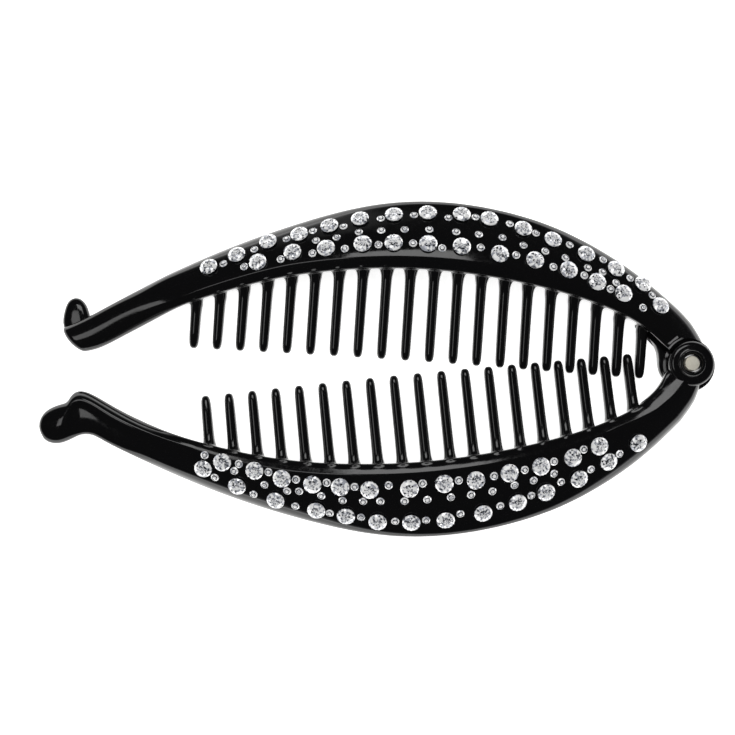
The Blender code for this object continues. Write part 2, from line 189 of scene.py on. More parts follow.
def spline_row(rows, place):
    """The row at this place, counted in rows, on a smooth curve that keeps near the table's rows."""
    before = min(int(place), len(rows) - 2)
    share = place - before
    picked = []
    for number in range(before - 1, before + 3):
        if number < 0:
            picked.append([2 * a - b for a, b in zip(rows[0], rows[1])])
        elif number >= len(rows):
            picked.append([2 * a - b for a, b in zip(rows[-1], rows[-2])])
        else:
            picked.append(rows[number])
    weights = (
        (1 - share) ** 3 / 6,
        (3 * share ** 3 - 6 * share ** 2 + 4) / 6,
        (-3 * share ** 3 + 3 * share ** 2 + 3 * share + 1) / 6,
        share ** 3 / 6,
    )
    return [sum(weight * row[i] for weight, row in zip(weights, picked)) for i in range(len(rows[0]))]


def arm_ribs(arm):
    """The rib table of one arm, ended by the rib that runs into its ear."""
    reach = EAR_RADII[arm] - LAST_RIB_INSET
    rows = []
    if arm == "lower":
        rows = [(*row, SOLID) for row in LOWER_TAIL]
    for inner_x, inner_y, outer_x, outer_y, upper_foot, lower_foot, rise, wall in RIBS:
        if arm == "upper" or inner_x >= TAIL_START:
            foot = upper_foot if arm == "upper" else lower_foot
            rows.append((inner_x, inner_y, outer_x, outer_y, foot, rise, wall))
    rows.append((
        reach * math.cos(LAST_RIB_INNER_ANGLE), reach * math.sin(LAST_RIB_INNER_ANGLE),
        reach * math.cos(LAST_RIB_OUTER_ANGLE), reach * math.sin(LAST_RIB_OUTER_ANGLE),
        0.0, LAST_RIB_RISE, SOLID,
    ))
    return rows


def rib_where(rows, inner_x):
    """The smooth rib whose inner end lies at this x."""
    low, high = 0.0, len(rows) - 1.0
    for _ in range(40):
        middle = (low + high) / 2
        if spline_row(rows, middle)[0] < inner_x:
            low = middle
        else:
            high = middle
    return spline_row(rows, (low + high) / 2)


def ramp(value, start, end):
    """Rises smoothly from 0 at the start to 1 at the end."""
    share = min(1.0, max(0.0, (value - start) / (end - start)))
    return share * share * (3 - 2 * share)


def bar_profile(width, rise, count, bead):
    """The plain rounded bar of a tail, with as many points as the band's outside."""
    points = []
    for i in range(count):
        angle = math.pi * i / (count - 1)
        distance = width / 2 + (width / 2 + BAR_SWELL) * math.cos(angle)
        crown = math.sin(angle) ** BAR_SQUARENESS
        ridge = math.exp(-((distance - BEAD_PLACE) / BEAD_SPREAD) ** 2)
        points.append((distance, rise * crown * (1 - bead * (1 - ridge))))
    return points


def band_profile(arm, width, rise, wall, crest_gain, tooth_rib):
    """Outline of a rib as (distance from its inner end, height over its foot), outer foot first."""
    scale = min(1.0, width / SLIM_WIDTH)
    low = rise / FULL_RISE
    edge = width + OUTER_SWELL[arm]
    roll_width = SHOULDER_WIDTH * scale
    shoulder = edge - roll_width
    crest = min((CREST[arm] + crest_gain) * scale, shoulder - LEAST_FACE)
    first = math.tan(FACE_AT_CREST)
    last = math.tan(FACE_AT_SHOULDER - SLIM_FLATTER * max(0.0, 1 - width / WIDE_BAND))

    def face_height(distance):
        """Over the face, whose slope grows from the crest and then stays the same."""
        share = min(1.0, max(0.0, (distance - crest) / (shoulder - crest)))
        rolled = min(share, FACE_ROLL_SHARE)
        drop = rolled * (first + (last - first) * rolled / FACE_ROLL_SHARE / 2)
        drop += (share - rolled) * last
        return rise - drop * (shoulder - crest) * low

    shoulder_height = face_height(shoulder)
    start = math.sin(FACE_AT_SHOULDER)
    outside = [(edge + past, height) for past, height in RIM_FOOT]
    for turn in SHOULDER_TURNS:
        reach = (math.sin(math.radians(turn)) - start) / (1 - start)
        height = math.cos(math.radians(turn)) / math.cos(FACE_AT_SHOULDER)
        outside.append((shoulder + roll_width * reach, shoulder_height * height))
    for share in FACE_SHARES:
        distance = crest + (shoulder - crest) * share
        outside.append((distance, face_height(distance)))
    back = EDGE_SET_BACK[arm] * scale
    for share, drop, rib_share in EDGE_ROLL:
        distance = back + (crest - back) * share
        outside.append((distance, rise - EDGE_DROP * drop * low + rib_share * tooth_rib))
    inside = [(back + WALL_DRAFT, max(0.0, rise - INNER_WALL_FOOT))]
    for across in HOLLOW_SHARES:
        distance = across * width
        height = face_height(distance)
        if distance > shoulder:
            height *= 1 - (distance - shoulder) / (roll_width + HOLLOW_RIM_GAIN)
        if distance < crest:
            height = rise - EDGE_DROP * HOLLOW_DROP_SHARE * (1 - distance / crest)
        inside.append((distance, max(0.0, height - wall)))
    return outside, inside


def select_only(obj):
    bpy.ops.object.select_all(action="DESELECT")
    obj.select_set(True)
    bpy.context.view_layer.objects.active = obj


def pick_faces(piece, test):
    """Selects the faces that pass the test and leaves the piece in edit mode."""
    select_only(piece)
    bpy.ops.object.mode_set(mode="EDIT")
    bpy.ops.mesh.select_mode(type="FACE")
    bpy.ops.mesh.select_all(action="DESELECT")
    bpy.ops.object.mode_set(mode="OBJECT")
    for face in piece.data.polygons:
        face.select = test(face)
    bpy.ops.object.mode_set(mode="EDIT")


# Edges that turn by less than this are shaded smooth
SMOOTH_UNDER = math.radians(35)


def finish_shape(piece, name):
    """Applies the modifiers, shades the piece smooth except at its edges and gives it its name."""
    select_only(piece)
    for step in list(piece.modifiers):
        bpy.ops.object.modifier_apply(modifier=step.name)
    bpy.ops.object.shade_smooth_by_angle(angle=SMOOTH_UNDER, keep_sharp_edges=False)
    piece.name = name
    piece.data.name = name
    return piece


def subdivide_smoothly(piece, levels):
    step = piece.modifiers.new("smooth surface", "SUBSURF")
    step.levels = levels
    step.render_levels = levels
    step.use_limit_surface = True


def placing(arm):
    """From millimetres in the arm's own frame to metres where the arm lies."""
    turn = Matrix.Rotation(-SIDES[arm] * HALF_OPENING, 4, "Z")
    return Matrix.Scale(0.001, 4) @ Matrix.Translation(HINGE) @ turn


def to_place(piece, arm):
    piece.data.transform(placing(arm))


def band_columns(arm):
    """The inner x of each column of the band's mesh, and how much of a tooth it carries."""
    columns = [(x, 0.0) for x in TAIL_COLUMNS[arm]]
    first, count = FIRST_TOOTH[arm], TOOTH_COUNT[arm]
    past_comb = -(first + TOOTH_PITCH * (count - 0.5))
    gap = (past_comb - columns[-1][0]) / 2
    if gap > ROOM_FOR_COLUMN:
        columns.append((columns[-1][0] + gap, 0.0))
    columns.append((past_comb, 0.0))
    for number in reversed(range(count)):
        middle = -(first + TOOTH_PITCH * number)
        columns += [(middle + offset, 1.0 if offset == 0 else 0.0) for offset in TOOTH_COLUMNS]
        if number:
            columns.append((middle + TOOTH_PITCH / 2, 0.0))
    last = columns[-1][0]
    columns += [(x, 0.0) for x in HINGE_COLUMNS if x > last + LEAST_COLUMN_GAP]
    return columns


def band_mesh(arm):
    """A grid rolled up into the closed skin of the band, with a ring of vertices for each column."""
    side = SIDES[arm]
    rows = arm_ribs(arm)
    columns = [(rows[0][0], 0.0)] + band_columns(arm) + [(rows[-1][0], 0.0)]
    rings = []
    for column_x, tooth in columns:
        inner_x, inner_y, outer_x, outer_y, foot, rise, wall = rib_where(rows, column_x)
        width = math.hypot(outer_x - inner_x, outer_y - inner_y)
        gain = LEDGE_GAIN[arm] * ramp(column_x, *LEDGE_WIDENS)
        outside, inside = band_profile(arm, width, rise, wall, gain, tooth * RIB_OVER_EDGE)
        bar = 1 - ramp(column_x, *BAR_TO_BAND)
        bead = BEAD[arm] * ramp(column_x, *BEAD_RISES)
        rounded = bar_profile(width, rise, len(outside), bead)
        outside = [
            tuple(of_band + (of_bar - of_band) * bar for of_band, of_bar in zip(on_band, on_bar))
            for on_band, on_bar in zip(outside, rounded)
        ]
        ring = []
        for distance, height in outside + inside:
            x = inner_x + (outer_x - inner_x) * distance / width
            y = inner_y + (outer_y - inner_y) * distance / width
            ring.append(Vector((x, side * y, foot + height + bow(x, y))))
        rings.append(ring)
    for grow, out in END_RINGS[arm]:
        middle = sum(rings[0], Vector()) / len(rings[0])
        rings.insert(0, [middle + (point - middle) * grow + END_WAY[arm] * out for point in rings[0]])
    around = len(rings[0])
    bpy.ops.mesh.primitive_grid_add(x_subdivisions=len(rings) - 1, y_subdivisions=around)
    band = bpy.context.object
    for number, vertex in enumerate(band.data.vertices):
        row, column = divmod(number, len(rings))
        vertex.co = rings[column][row % around]
    select_only(band)
    bpy.ops.object.mode_set(mode="EDIT")
    bpy.ops.mesh.select_all(action="SELECT")
    bpy.ops.mesh.remove_doubles(threshold=0.0001)
    bpy.ops.mesh.select_all(action="DESELECT")
    bpy.ops.mesh.select_non_manifold()
    bpy.ops.mesh.fill_holes(sides=0)
    bpy.ops.object.mode_set(mode="OBJECT")
    pick_faces(band, lambda face: len(face.vertices) > 4)
    bpy.ops.mesh.inset(thickness=END_CAP_INSET, depth=0.0)
    bpy.ops.mesh.select_all(action="SELECT")
    bpy.ops.mesh.normals_make_consistent(inside=False)
    bpy.ops.object.mode_set(mode="OBJECT")
    return band


# The faces of the inner wall that a tooth grows from. Each is tall (in square millimetres), faces the
# other arm, is steep, and lies near the tooth's root. Their middle height tells top from foot.
WALL_FACE_AREA = 2.5
WALL_FACING = 0.4
WALL_STEEPNESS = 0.45
ROOT_REACH = 1.4
ROOT_MARGIN = 0.3
WALL_MIDDLE = 3.2
# How deep the wall lies behind a rib's inner end, and how near a tooth's axis its middle column is:
# on the wall, and on the rings after it
WALL_DEPTH = 0.45
MIDDLE_COLUMN_ON_WALL = 0.8
MIDDLE_COLUMN_ON_TOOTH = 0.1
# The middle column stands out by this share of the tooth's half width
TOOTH_CROWN = 0.3
# Each ring of a tooth: how far it is from the edge (or, where negative, from the tip), its half
# width, and the height of its top and its foot over the band's own foot
TOOTH_RINGS = [
    (0.3, 1.5, 5.1, 1.6), (0.9, 1.32, 4.9, 1.6), (2.2, 1.24, 4.6, 1.6), (7.0, 1.2, 4.3, 1.7),
    (-2.2, 1.14, 4.1, 1.8), (-0.9, 1.05, 3.95, 1.95), (-0.2, 0.74, 3.6, 2.3), (-0.001, 0.27, 3.2, 2.7),
]


def grow_teeth(band, arm):
    """Draws every tooth out of the band's inner wall, ring by ring, down to its rounded tip."""
    side = SIDES[arm]
    rows = arm_ribs(arm)
    first = FIRST_TOOTH[arm]
    middles = [-(first + TOOTH_PITCH * number) for number in range(TOOTH_COUNT[arm])]
    roots = [rib_where(rows, middle)[1] for middle in middles]
    # A slanted rib puts its wall a little to one side of the x of its inner end
    slants = []
    for middle in middles:
        inner_x, inner_y, outer_x, outer_y = rib_where(rows, middle)[:4]
        width = math.hypot(outer_x - inner_x, outer_y - inner_y)
        slants.append(WALL_DEPTH * (outer_x - inner_x) / width)

    def tooth_at(x):
        return min(len(middles) - 1, max(0, round((-x - first) / TOOTH_PITCH)))

    def at_root(face):
        number = tooth_at(face.center.x)
        sideways = abs(face.center.x - middles[number] - slants[number])
        from_root = abs(face.center.y * side - roots[number])
        near = sideways < ROOT_HALF_WIDTH - ROOT_MARGIN and from_root < ROOT_REACH
        inner_wall = face.normal.y * side < -WALL_FACING and abs(face.normal.z) < WALL_STEEPNESS
        return near and inner_wall and face.area > WALL_FACE_AREA

    def axis_point(number, place):
        """The y of a tooth's axis at this place along it, and the height of the band's foot there."""
        y = roots[number] - place if place >= 0 else -TOOTH_REACH - place
        return y, bow(middles[number], y)

    pick_faces(band, at_root)
    last_middle = WALL_MIDDLE
    on_wall = True
    for place, half_width, top, foot in TOOTH_RINGS:
        bpy.ops.mesh.extrude_region_move(TRANSFORM_OT_translate={"value": (0, 0, 0)})
        bpy.ops.object.mode_set(mode="OBJECT")
        for vertex in [v for v in band.data.vertices if v.select]:
            number = tooth_at(vertex.co.x)
            y, base = axis_point(number, place)
            upper_side = vertex.co.z > bow(middles[number], vertex.co.y * side) + last_middle
            sideways = vertex.co.x - middles[number]
            if on_wall:
                crowned = abs(sideways - slants[number]) < MIDDLE_COLUMN_ON_WALL
            else:
                crowned = abs(sideways) < MIDDLE_COLUMN_ON_TOOTH
            across = 0.0 if crowned else math.copysign(half_width, sideways)
            crown = TOOTH_CROWN * half_width if crowned else 0.0
            height = top + crown if upper_side else foot - crown
            vertex.co = (middles[number] + across, side * y, base + height)
        last_middle = (top + foot) / 2
        on_wall = False
        bpy.ops.object.mode_set(mode="EDIT")
    bpy.ops.mesh.select_mode(type="VERT")
    bpy.ops.object.mode_set(mode="OBJECT")


def node_colour(value):
    """sRGB hex to the linear colour that a socket takes."""
    channels = [int(value[i:i + 2], 16) / 255 for i in (1, 3, 5)]
    return tuple(c / 12.92 if c <= 0.04045 else ((c + 0.055) / 1.055) ** 2.4 for c in channels) + (1.0,)


def new_material(name):
    made = bpy.data.materials.new(name)
    made.use_nodes = True
    return made, made.node_tree.nodes["Principled BSDF"]


def add_node(made, kind, links, **settings):
    """Adds a node. links maps an input's name to the output that feeds it, or to its value."""
    node = made.node_tree.nodes.new(kind)
    for key, value in settings.items():
        setattr(node, key, value)
    for key, value in links.items():
        if isinstance(value, bpy.types.NodeSocket):
            made.node_tree.links.new(value, node.inputs[key])
        else:
            node.inputs[key].default_value = value
    return node


# Moulded polystyrene, polished: deep black, with a faint waviness about 11 mm long where the melt
# flowed, and specks of handling wear, 0.7 mm across, that dull the gloss in places
FLOW_WAVES_PER_METRE = 90.0
WEAR_SPECKS_PER_METRE = 1400.0
moulded_black, shader = new_material("moulded_black_styrene")
place = add_node(moulded_black, "ShaderNodeTexCoord", {}).outputs["Object"]
flow = add_node(
    moulded_black, "ShaderNodeTexNoise",
    {"Vector": place, "Scale": FLOW_WAVES_PER_METRE, "Detail": 2.0, "Roughness": 0.4},
)
specks = add_node(
    moulded_black, "ShaderNodeTexNoise",
    {"Vector": place, "Scale": WEAR_SPECKS_PER_METRE, "Detail": 3.0, "Roughness": 0.6},
)
dulled = add_node(
    moulded_black, "ShaderNodeMapRange",
    {"Value": specks.outputs["Fac"], "From Min": 0.35, "From Max": 0.75, "To Min": 0.06, "To Max": 0.16},
)
wave = add_node(
    moulded_black, "ShaderNodeBump", {"Height": flow.outputs["Fac"], "Strength": 0.06, "Distance": 0.001}
)
moulded_black.node_tree.links.new(dulled.outputs["Result"], shader.inputs["Roughness"])
moulded_black.node_tree.links.new(wave.outputs["Normal"], shader.inputs["Normal"])
shader.inputs["Base Color"].default_value = node_colour("#060607")
shader.inputs["IOR"].default_value = 1.58

# The skins are kept for the stones, which are seated on them
skins = {}
arms = {}
for arm in ("upper", "lower"):
    band = band_mesh(arm)
    grow_teeth(band, arm)
    subdivide_smoothly(band, 2)
    finish_shape(band, arm + "_moulded_arm")
    skin = bmesh.new()
    skin.from_mesh(band.data)
    skins[arm] = BVHTree.FromBMesh(skin)
    skin.free()
    arms[arm] = band

# The tail ends
# The upper arm ends in a bar with a rounded tab behind it, moulded in one with it and joined to it by
# a short neck. The lower arm's beaded tail and thumb rest are the last ribs of its band.

TAB_OUTLINE = [(-134.3, -3.0), (-133.6, 0.0), (-134.2, 2.2), (-135.0, 4.4), (-136.4, 5.9), (-138.2, 6.1),
               (-139.6, 4.9), (-140.1, 2.4), (-140.3, -0.4), (-138.6, -3.0)]
TAB_NECK_OUTLINE = [(-134.3, -3.1), (-133.3, -1.2), (-134.3, 0.0), (-136.2, -0.5), (-138.0, -1.6),
                    (-137.4, -3.0), (-135.8, -3.6)]
# How small the very top of a blob is drawn in
BLOB_CROWN = 0.55


def blob(outline, low, high, shrink, levels, side):
    """A pillow-shaped solid over a plan outline, extruded up and drawn in at its top and foot."""
    count = len(outline)
    bpy.ops.mesh.primitive_circle_add(vertices=count, radius=1.0, fill_type="NGON")
    made = bpy.context.object
    middle = Vector((sum(p[0] for p in outline) / count, side * sum(p[1] for p in outline) / count, low))
    for vertex, (x, y) in zip(made.data.vertices, outline):
        point = Vector((x, side * y, low))
        vertex.co = middle + (point - middle) * shrink
    rise = high - low
    for share, grow in ((0.25, 1 / shrink), (0.4, 1.0), (0.22, shrink), (0.13, BLOB_CROWN)):
        bpy.ops.object.mode_set(mode="EDIT")
        bpy.ops.mesh.extrude_region_move(TRANSFORM_OT_translate={"value": (0, 0, share * rise)})
        bpy.ops.transform.resize(value=(grow, grow, 1), center_override=middle)
        bpy.ops.object.mode_set(mode="OBJECT")
    bpy.ops.object.mode_set(mode="EDIT")
    bpy.ops.mesh.select_all(action="SELECT")
    bpy.ops.mesh.normals_make_consistent(inside=False)
    bpy.ops.object.mode_set(mode="OBJECT")
    subdivide_smoothly(made, levels)
    return finish_shape(made, "blob")


tab = blob(TAB_OUTLINE, 0.0, 2.5, 0.78, 3, SIDES["upper"])
tab_neck = blob(TAB_NECK_OUTLINE, 0.7, 4.8, 0.9, 2, SIDES["upper"])

# The knuckle
# The lower arm's ear lies on the upper arm's. Its top is a low dome with a raised ring around the
# well that the pin's head sits in; the upper ear is a plain rounded disc beneath it.

# Radius and height of each row of a turned piece
KNUCKLE_ROWS = [
    (1.95, 3.5), (4.7, 3.5), (5.0, 3.8), (5.0, 6.2), (4.86, 6.65), (4.5, 6.95), (3.9, 7.08), (3.35, 7.05),
    (3.05, 7.12), (2.9, 7.4), (2.75, 7.56), (2.5, 7.58), (2.3, 7.45), (2.2, 7.1), (2.15, 6.65), (1.95, 6.6),
]
LOW_EAR_ROWS = [
    (1.95, 0.0), (5.5, 0.0), (5.9, 0.25), (6.0, 0.7), (6.0, 2.6), (5.9, 3.0), (5.6, 3.2), (1.95, 3.2),
]
# The webs that fill the corners between each arm's inner edge and its ear
WEB_OUTLINES = {
    "upper": [(-13.5, 8.2), (-10.0, 6.9), (-7.6, 4.4), (-6.6, 1.6), (-6.6, -1.2), (-5.4, -3.6),
              (-2.6, -4.4), (-1.8, 2.0), (-4.0, 8.0), (-9.0, 9.6)],
    "lower": [(-13.5, 8.2), (-10.4, 6.5), (-8.0, 4.6), (-6.4, 2.6), (-5.4, 0.4), (-3.0, 0.6),
              (-2.4, 3.0), (-4.0, 7.4), (-9.0, 9.4)],
}


def turned_ring(rows, steps, name):
    """A ring turned on its axis: a circle drawn out from row to row, and closed on itself."""
    bpy.ops.mesh.primitive_circle_add(vertices=steps, radius=rows[0][0], location=(0, 0, rows[0][1]))
    made = bpy.context.object
    bpy.ops.object.transform_apply(location=True)
    bpy.ops.object.mode_set(mode="EDIT")
    bpy.ops.mesh.select_all(action="SELECT")
    for (radius, height), (next_radius, next_height) in zip(rows, rows[1:] + rows[:1]):
        grow = next_radius / radius
        bpy.ops.mesh.extrude_edges_move(TRANSFORM_OT_translate={"value": (0, 0, next_height - height)})
        bpy.ops.transform.resize(value=(grow, grow, 1), center_override=(0, 0, 0))
    bpy.ops.mesh.select_all(action="SELECT")
    bpy.ops.mesh.remove_doubles(threshold=0.0005)
    bpy.ops.mesh.normals_make_consistent(inside=False)
    bpy.ops.object.mode_set(mode="OBJECT")
    return finish_shape(made, name)


knuckle = turned_ring(KNUCKLE_ROWS, 96, "knuckle")
low_ear = turned_ring(LOW_EAR_ROWS, 96, "low_ear")

# The upper arm is hollowed out around the knuckle, with a rounded lip
RECESS_ROWS = [
    (0.3, 3.25), (5.66, 3.25), (5.7, 6.2), (5.75, 6.26), (6.2, 6.14), (6.26, 6.18), (6.3, 6.62),
    (6.35, 6.68), (6.85, 6.55), (6.92, 6.62), (6.96, 9.0), (0.3, 9.0),
]
recess = turned_ring(RECESS_ROWS, 128, "recess")
# The lower arm is cut away under the knuckle, where the upper ear lies
UNDER_ROWS = [(0.3, -1.0), (6.4, -1.0), (6.4, 3.45), (0.3, 3.45)]
under = turned_ring(UNDER_ROWS, 96, "under")


def cut(target, tool):
    """Cuts the tool out of the target and deletes it."""
    step = target.modifiers.new("cut", "BOOLEAN")
    step.operation = "DIFFERENCE"
    step.object = tool
    select_only(target)
    bpy.ops.object.modifier_apply(modifier=step.name)
    bpy.data.objects.remove(tool)


cut(arms["upper"], recess)
cut(arms["lower"], under)


def join_to(target, others):
    """Joins the others to the target, in one mesh."""
    select_only(target)
    for other in others:
        other.select_set(True)
    bpy.ops.object.join()


upper_web = blob(WEB_OUTLINES["upper"], 0.3, 3.15, 0.9, 2, SIDES["upper"])
lower_web = blob(WEB_OUTLINES["lower"], 3.6, 6.3, 0.9, 2, SIDES["lower"])
for arm, extras in (("upper", [tab, tab_neck, low_ear, upper_web]), ("lower", [knuckle, lower_web])):
    join_to(arms[arm], extras)
    whole = finish_shape(arms[arm], arm + "_moulded_arm")
    to_place(whole, arm)
    whole.data.materials.clear()
    whole.data.materials.append(moulded_black)
    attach(whole, arm)
    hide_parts(arm + "_arm")

# The hinge pin
# A steel pin riveted through both ears, with a pale, faintly domed head sunk in the knuckle's ring.

# Turned steel, satin from tumbling: a soft, warm grey with a tarnish in spots about 1 mm across
TARNISH_SPOTS_PER_METRE = 900.0
pin_steel, shader = new_material("turned_steel_pin")
place = add_node(pin_steel, "ShaderNodeTexCoord", {}).outputs["Object"]
tarnish = add_node(
    pin_steel, "ShaderNodeTexNoise", {"Vector": place, "Scale": TARNISH_SPOTS_PER_METRE, "Detail": 3.0}
)
tone = add_node(
    pin_steel, "ShaderNodeMix",
    {"Factor": tarnish.outputs["Fac"], "A": node_colour("#E9E6DA"), "B": node_colour("#C9C3B2")},
    data_type="RGBA",
)
pin_steel.node_tree.links.new(tone.outputs["Result"], shader.inputs["Base Color"])
shader.inputs["Metallic"].default_value = 0.6
shader.inputs["Roughness"].default_value = 0.5

PIN_ROWS = [(0.001, 0.3), (1.45, 0.3), (1.65, 0.5), (1.65, 6.95), (1.55, 7.12), (1.2, 7.18), (0.001, 7.2)]
pin = turned_ring(PIN_ROWS, 64, "steel_hinge_pin")
pin.data.transform(Matrix.Scale(0.001, 4) @ Matrix.Translation(HINGE))
pin.data.materials.append(pin_steel)
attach(pin, "upper")
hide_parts("hinge_pin")

# The large stones
# Foil-backed cut glass, 4 mm across, glued to the band: a small table, rings of crown facets that
# turn by half a facet from one to the next, and a girdle that runs down to the foil beneath.

# Cut glass with silver foil behind it: clear and very smooth, it throws the light back white from
# some facets and dark from others. These reflections are painted: each facet has its own painted reflection
# tone, as an attribute of its face.
foiled_glass, shader = new_material("foiled_cut_glass")
facet_reflection_tone = add_node(foiled_glass, "ShaderNodeAttribute", {}, attribute_name="facet_reflection_tone")
tone = add_node(foiled_glass, "ShaderNodeValToRGB", {"Fac": facet_reflection_tone.outputs["Fac"]})
tone.color_ramp.elements[0].color = node_colour("#2B2D33")
tone.color_ramp.elements[1].color = node_colour("#FFFFFF")
middle_tone = tone.color_ramp.elements.new(0.5)
middle_tone.color = node_colour("#A9ACB4")
foiled_glass.node_tree.links.new(tone.outputs["Color"], shader.inputs["Base Color"])
shader.inputs["Metallic"].default_value = 0.3
shader.inputs["Roughness"].default_value = 0.14
shader.inputs["Coat Weight"].default_value = 1.0
shader.inputs["Coat Roughness"].default_value = 0.02

GEM_RADIUS = 2.0
GEM_FACETS = 16
GEM_FOOT = -0.35
GEM_FOOT_RADIUS = 1.6
# How far each ring of a stone is above the last one and how much wider, from its foot to its table,
# and the rings that turn by half a facet
GEM_STEPS = [
    (0.5, GEM_RADIUS / GEM_FOOT_RADIUS), (0.15, 1.0), (0.3, 0.82), (0.22, 0.67), (-0.05, 0.62), (-0.04, 0.4),
]
GEM_TURNS = (2, 3, 5)
STONE_SEAT_GAP = 0.3


def cut_stone(facets, foot_radius, foot, steps, turns=()):
    """One stone at the origin, in millimetres, drawn up from its foot, with its table up."""
    bpy.ops.mesh.primitive_circle_add(
        vertices=facets, radius=foot_radius, fill_type="NGON", location=(0, 0, foot)
    )
    made = bpy.context.object
    bpy.ops.object.transform_apply(location=True)
    bpy.ops.object.mode_set(mode="EDIT")
    bpy.ops.mesh.select_all(action="SELECT")
    for number, (lift, grow) in enumerate(steps):
        bpy.ops.mesh.extrude_region_move(TRANSFORM_OT_translate={"value": (0, 0, lift)})
        bpy.ops.transform.resize(value=(grow, grow, 1), center_override=(0, 0, 0))
        if number in turns:
            bpy.ops.transform.rotate(value=math.pi / facets, orient_axis="Z", center_override=(0, 0, 0))
    bpy.ops.mesh.select_all(action="SELECT")
    if turns:
        bpy.ops.mesh.quads_convert_to_tris(quad_method="FIXED")
    bpy.ops.mesh.normals_make_consistent(inside=False)
    bpy.ops.object.mode_set(mode="OBJECT")
    made.data.materials.append(foiled_glass)
    return made


def facets_in_order(stone):
    """Its facets by their place, because the mesh holds them in another order in each run."""
    return sorted(stone.data.polygons, key=lambda face: tuple(round(c, 3) for c in face.center))


# Painted reflections: the share of facets painted dark and of those painted half bright, the crescent
# of mixed facets, a painted dark reflection, on one side of the crown, and the plain painted tone of the
# girdle
DARK_SHARE = 0.14
HALF_BRIGHT_SHARE = 0.25
CRESCENT_INNER = 0.5
CRESCENT_OUTER = 1.25
CRESCENT_SPAN = 0.35
CRESCENT_TONES = (0.0, 0.1, 0.4, 0.9)
GIRDLE_TOP = 0.1
GIRDLE_TONE = 0.35


def paint_facet_reflections(gem, spin, moon):
    """Paints each facet's reflection as its brightness. moon is the direction, after the spin, of a crescent
    of painted dark reflection.
    """
    tones = gem.data.attributes.new("facet_reflection_tone", "FLOAT", "FACE")
    for face in facets_in_order(gem):
        away = math.hypot(face.center.x, face.center.y)
        heading = math.atan2(face.center.y, face.center.x) + spin
        toss = draw.random()
        value = 1.0 if toss > DARK_SHARE + HALF_BRIGHT_SHARE else 0.5
        if toss < DARK_SHARE:
            value = draw.uniform(0.0, 0.2)
        if CRESCENT_INNER < away < CRESCENT_OUTER and math.cos(heading - moon) > CRESCENT_SPAN:
            value = draw.choice(CRESCENT_TONES)
        if face.center.z < GIRDLE_TOP:
            value = GIRDLE_TONE
        tones.data[face.index].value = value


gem_pattern = cut_stone(GEM_FACETS, GEM_FOOT_RADIUS, GEM_FOOT, GEM_STEPS, GEM_TURNS)
# How far to each side the band's slope is felt for under a stone, from a height over all of it
SEAT_PROBE = 0.7
OVER_ALL = 30


def seat(arm, x, y):
    """Point and outward direction of the finished band under this plan position."""
    down = Vector((0, 0, -1))

    def hit(over_x, over_y):
        return skins[arm].ray_cast(Vector((over_x, over_y, OVER_ALL)), down)[0]

    slope_x = hit(x + SEAT_PROBE, y) - hit(x - SEAT_PROBE, y)
    slope_y = hit(x, y + SEAT_PROBE) - hit(x, y - SEAT_PROBE)
    return hit(x, y), slope_x.cross(slope_y).normalized()


def stone_seat(node):
    """Where a stone's foot is, read from its node."""
    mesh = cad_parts[node].data
    mesh.calc_loop_triangles()
    areas = {}
    for triangle in mesh.loop_triangles:
        key = tuple(round(c, 2) for c in triangle.normal)
        areas[key] = areas.get(key, 0.0) + triangle.area
    up = -Vector(max(areas, key=areas.get)).normalized()
    heights = [vertex.co @ up for vertex in mesh.vertices]
    foot = min(heights)
    ring = [v.co for v, h in zip(mesh.vertices, heights) if h < foot + 0.0001]
    low = Vector(min(co[i] for co in ring) for i in range(3))
    high = Vector(max(co[i] for co in ring) for i in range(3))
    return (low + high) / 2


def copy_of(pattern, name):
    made = bpy.data.objects.new(name, pattern.data.copy())
    bpy.context.scene.collection.objects.link(made)
    return made


def set_stone(stone, point, up, angle):
    """Moves a stone from the origin to this point, upright on the band and turned by this angle."""
    turn = up.to_track_quat("Z", "Y").to_matrix().to_4x4()
    stone.data.transform(Matrix.Translation(point) @ turn @ Matrix.Rotation(angle, 4, "Z"))


for node in sorted(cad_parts):
    if "_stone_" not in node:
        continue
    arm = node.split("_")[0]
    foot = placing(arm).inverted() @ stone_seat(node)
    point, up = seat(arm, foot.x, foot.y)
    gem = copy_of(gem_pattern, node.replace("stone", "cut_stone"))
    angle = draw.uniform(0, 2 * math.pi)
    # Paints the stone's reflections into its facets, with a crescent of painted dark reflection toward +y
    paint_facet_reflections(gem, angle, math.pi / 2 + draw.uniform(-0.3, 0.3))
    set_stone(gem, point + up * STONE_SEAT_GAP, up, angle)
    to_place(gem, arm)
    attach(gem, arm)
    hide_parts(node)
bpy.data.objects.remove(gem_pattern)
